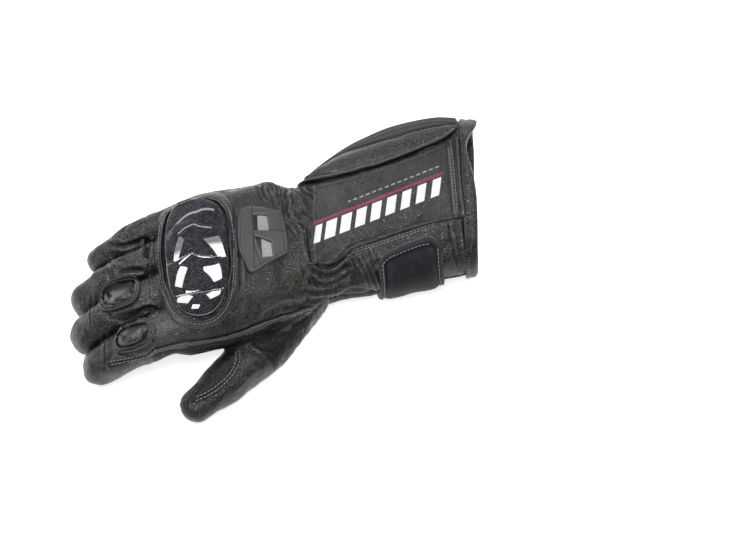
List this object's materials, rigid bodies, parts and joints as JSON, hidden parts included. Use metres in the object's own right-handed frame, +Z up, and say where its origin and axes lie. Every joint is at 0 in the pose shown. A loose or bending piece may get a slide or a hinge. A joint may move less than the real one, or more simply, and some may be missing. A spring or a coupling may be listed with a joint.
{
  "type": "motorcycle glove",
  "caption": "Right-hand leather motorcycle glove with a long flared cuff, curled fingers, moulded knuckle guard, vented back plate and wrist closure flap, lying on its palm.",
  "frame": {"origin": "middle of the underside, on the surface that the glove rests on", "axes": "+X from the fingertips to the mouth of the cuff, +Y from the thumb side to the little finger side, +Z up"},
  "size_m": [0.2954, 0.1642, 0.0668],
  "materials": {
    "back_leather": "black grained leather with a soft sheen",
    "palm_leather": "duller black leather of the palm side",
    "welt_leather": "smooth folded black leather welts",
    "panel_leather": "grained black leather with a thin red stripe and plain white bars",
    "pad_leather": "matt reinforcing leather with double stitching",
    "flap_suede": "purplish black brushed closure material",
    "guard_shell": "clear glossy coat over a dark woven fibre",
    "moulded_plate": "matt dark grey moulding",
    "silver_mesh": "fine silver mesh",
    "grey_cloth": "grey woven cloth"
  },
  "bodies": {
    "root": {"hand_back": "back_leather", "hand_palm": "palm_leather", "wrist_gather": "back_leather", "cuff_back": "back_leather", "cuff_palm": "palm_leather", "cuff_hem": "back_leather", "index_finger": "back_leather", "middle_finger": "back_leather", "ring_finger": "back_leather", "little_finger": "back_leather", "thumb": "back_leather", "thumb_pad": "pad_leather", "knuckle_guard": "guard_shell", "knuckle_frame": "welt_leather", "vent_plate": "moulded_plate", "vent_mesh_far": "silver_mesh", "vent_mesh_near": "silver_mesh", "index_slider": "moulded_plate", "index_welt": "welt_leather", "middle_slider": "moulded_plate", "middle_welt": "welt_leather", "closure_flap": "flap_suede", "cuff_top_panel": "panel_leather", "side_bolster": "back_leather", "side_fabric": "grey_cloth", "side_piping": "welt_leather"}
  },
  "joints": []
}
